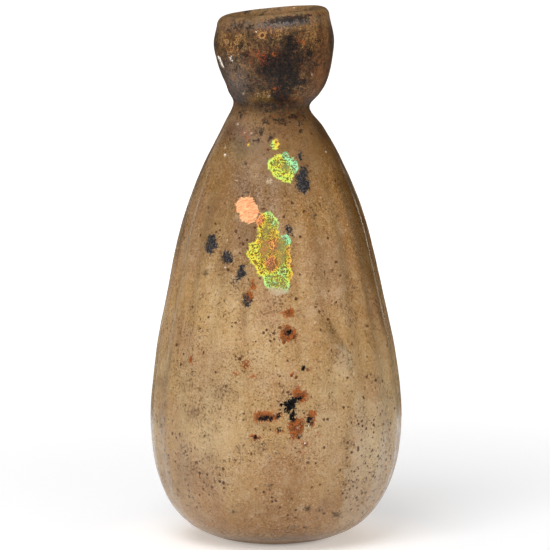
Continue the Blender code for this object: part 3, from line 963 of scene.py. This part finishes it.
def dulled_glass(name, marked):
    """The outside of the glass. Where it is marked, the marks keep light from going through."""
    look = Look(name)
    places = millimetres(look)
    cloudy = look.grain(places, 0.4, 5)
    ragged = look.grain(places, 1.9, 5, 0.7)
    fine = look.grain(places, 3.2, 3, 0.7)

    def mask(field, rough, soft, noise_in=ragged):
        """1 inside a mark and 0 outside it, with an edge that wanders by up to half of rough."""
        jitter = look.times(look.less(noise_in, 0.5), rough)
        return look.band(look.plus(look.field(field), jitter), soft, -soft)

    lay_film(look, places)
    frayed = look.plus(look.field("paler"), look.times(look.less(cloudy, 0.5), 5.0))
    look.coat(look.band(frayed, 0.5, -0.3, 0.0, 0.3), CREAM)
    clusters = look.times(look.less(look.grain(places, 0.16, 3), 0.5), 0.3)
    dusty = look.plus(look.grain(places, 2.2, 3, 0.7), clusters)
    look.coat(look.band(dusty, 0.575, 0.635, 0.0, 0.68), SPECK)
    specks = look.dots(places, 0.8, 0.36, 0.03, 0.13)
    pepper = look.dots(places, 1.25, look.times(look.field("pepper"), 0.95), 0.2, 0.46)
    pits = look.larger(look.times(specks, 0.65), pepper)
    look.coat(look.times(pits, 0.85), SPECK)
    look.coat(look.dots(look.scaled(places, 1.03, 0.97, 1.0), 0.5, 0.07, 0.04, 0.11), CREAM)
    rough = look.band(cloudy, 0.3, 0.7, 0.16, 0.3)
    height = look.plus(look.times(fine, 0.03), look.times(ragged, 0.04))
    height = look.less(height, look.times(pits, 0.08))

    if marked:
        soot = look.times(mask("soot", 4.0, 0.9, cloudy), look.band(ragged, 0.62, 0.46, 0.35, 1.0))
        # Soot and dark smudges; the smudge under the front of the lip is painted shade.
        darkened = look.larger(soot, look.times(mask("smudge_and_shade", 3.5, 0.22), 0.9))
        look.coat(look.times(darkened, 0.92), look.blend(look.band(fine, 0.5, 0.7), *SOOT_AND_SHADE))
        glowing = look.plus(look.times(fine, 0.7), look.times(cloudy, 0.3))
        look.coat(look.times(look.band(glowing, 0.55, 0.62), look.field("ember")), EMBER)
        rust = mask("rust", 4.0, 0.14)
        rusty = look.band(look.plus(ragged, look.times(fine, 0.5)), 0.66, 0.82)
        look.coat(look.times(rust, 0.95), look.blend(rusty, *RUST))
        tar = mask("tar", 3.0, 0.1)
        look.coat(tar, look.blend(look.band(fine, 0.5, 0.72), *TAR))
        film = mask("film", 2.6, 0.08)
        look.coat(film, iridescent(look, places))
        salmon = mask("salmon", 2.0, 0.08)
        look.coat(salmon, salmon_film(look, places))
        flake = look.times(mask("flake", 2.0, 0.1), look.band(fine, 0.36, 0.5))
        look.coat(flake, FLAKE)
        crust = mask("crust", 4.0, 0.12)
        look.coat(crust, look.blend(look.band(fine, 0.42, 0.7), *CHARCOAL))
        covered = look.larger(darkened, look.band(look.field("dark"), OPAQUE_DARK_FROM, 0.7))
        for growth in (rust, tar, film, salmon, crust, flake):
            covered = look.larger(covered, growth)
            height = look.plus(height, look.times(growth, 0.06))
        clearness = look.band(covered, 0.0, 1.0, OUTER_CLEARNESS, 0.0)
        look.set(Transmission_Weight=clearness, Specular_IOR_Level=0.18)
        rough = look.larger(rough, look.times(covered, 0.5))
        rough = look.math("MINIMUM", rough, look.band(tar, 0.0, 1.0, 1.0, 0.22))
    else:
        look.set(Transmission_Weight=OUTER_CLEARNESS, Specular_IOR_Level=0.2)

    # Darker inside the pits, painted shade in their hollows, and a pale ring round their rims, a painted
    # highlight.
    pit = look.field("pit")
    look.coat(look.band(pit, 0.0, -0.3, 0.0, 0.3), SPECK)
    look.coat(look.band(look.math("ABSOLUTE", pit), 0.22, 0.08, 0.0, 0.5), OLD_GOLD)
    # Painted highlights, laid on as near-white colour.
    look.coat(mask("painted_highlight", 0.8, 0.1, fine), PAINTED_HIGHLIGHT)
    bump = look.add("Bump", {"Strength": 0.6, "Distance": UNIT, "Height": height})
    look.set(Base_Color=look.colour, Roughness=rough, IOR=GLASS_IOR, Normal=bump)
    look.fill(GLASS_TINT, GLASS_DENSITY)
    return look.material


def make_floor(name, half_side, drop, mirrored):
    """A white floor that glows, so that it stays white, with a painted contact shadow where the glow dims
    under the bottle and a painted pool of warm light close to it.
    """
    size = half_side * UNIT
    mesh = bpy.data.meshes.new(name)
    corners = [(-size, -size, 0), (size, -size, 0), (size, size, 0), (-size, size, 0)]
    mesh.from_pydata(corners, [], [(0, 1, 2, 3)])
    floor = add_object(name, mesh)
    floor.location.z = low_corner[2] - drop * UNIT
    floor.visible_glossy = mirrored
    look = Look(name)
    places = look.add("TexCoord", {}, output=3)
    away = look.add("VectorMath", {0: places}, output=1, operation="LENGTH")

    def outward(reach, near, far):
        """near up to the first distance of the reach, far past the second, and smooth between them."""
        return look.band(away, reach[0] * UNIT, reach[1] * UNIT, near, far)

    # A painted pool of warm light round the bottle, for light that comes through the glass.
    warmth = outward(WARM_REACH, 1.0, 0.0)
    glow = look.plus(outward(GLOW_REACH, FLOOR_GLOW, FAR_GLOW), look.times(warmth, WARM_GLOW))
    # A painted contact shadow: the glow dims close under the bottle.
    glow = look.times(glow, outward(CONTACT_REACH, CONTACT_SHARE, 1.0))
    look.set(Base_Color=FLOOR_WHITE, Roughness=0.9)
    look.set(Emission_Color=look.blend(warmth, WHITE, WARM_LIGHT), Emission_Strength=glow)
    mesh.materials.append(look.material)
    return floor


def add_light(name, place, wide, high, power, mirrored=False, through=True, tint=WHITE):
    """A soft light aimed at the bottle. It may show as a streak on the glass or light it from inside."""
    data = bpy.data.lights.new(name, "AREA")
    data.shape = "RECTANGLE"
    data.size = wide * UNIT
    data.size_y = high * UNIT
    data.energy = power
    data.color = tint[:3]
    lamp = add_object(name, data)
    lamp.location = Vector(place) * UNIT
    lamp.rotation_euler = (LIGHT_AIM - Vector(place)).to_track_quat("-Z", "Y").to_euler()
    lamp.visible_glossy = mirrored
    lamp.visible_transmission = through


def make_camera():
    data = bpy.data.cameras.new("camera")
    data.sensor_width = SENSOR_WIDTH
    data.lens = CAMERA_LENS
    data.clip_end = CLIP_END
    camera = add_object("camera", data)
    camera.location = CAMERA_PLACE * UNIT
    camera.rotation_euler = (math.pi / 2 - CAMERA_RISE, 0.0, 0.0)
    bpy.context.scene.camera = camera


def set_world():
    """A dim warm room with a broad soft light overhead."""
    world = bpy.data.worlds.new("studio")
    world.use_nodes = True
    sky = Nodes(world.node_tree)
    towards = sky.add("TexCoord", {}, output=0)
    rise = sky.add("SeparateXYZ", {0: towards}, output=2)
    background = world.node_tree.nodes["Background"]
    sky.feed(background.inputs["Strength"], sky.band(rise, *OVERHEAD_RISE, ROOM_LIGHT, OVERHEAD_LIGHT))
    sky.feed(background.inputs["Color"], sky.blend(sky.band(rise, *OVERHEAD_RISE), ROOM_TINT, WHITE))
    bpy.context.scene.world = world
    bpy.context.scene.view_settings.view_transform = "Standard"
    bpy.context.scene.view_settings.look = "None"


make_camera()
set_world()
near_floor = make_floor("near_floor", half_side=150, drop=0.02, mirrored=True)
far_floor = make_floor("far_floor", half_side=3000, drop=0.07, mirrored=False)
add_light("key", (-260, -640, 790), wide=650, high=650, power=7.5)
add_light("front", (160, -1150, 160), wide=1800, high=900, power=10.4, through=False)
add_light("left_strip", (-500, 860, 90), wide=150, high=420, power=0.2, mirrored=True, tint=STRIP_TINT)
add_light("right_strip", (350, 930, 40), wide=110, high=110, power=0.12, mirrored=True, tint=STRIP_TINT)
bottle = make_bottle()
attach(bottle, "root")
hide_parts(NODE)
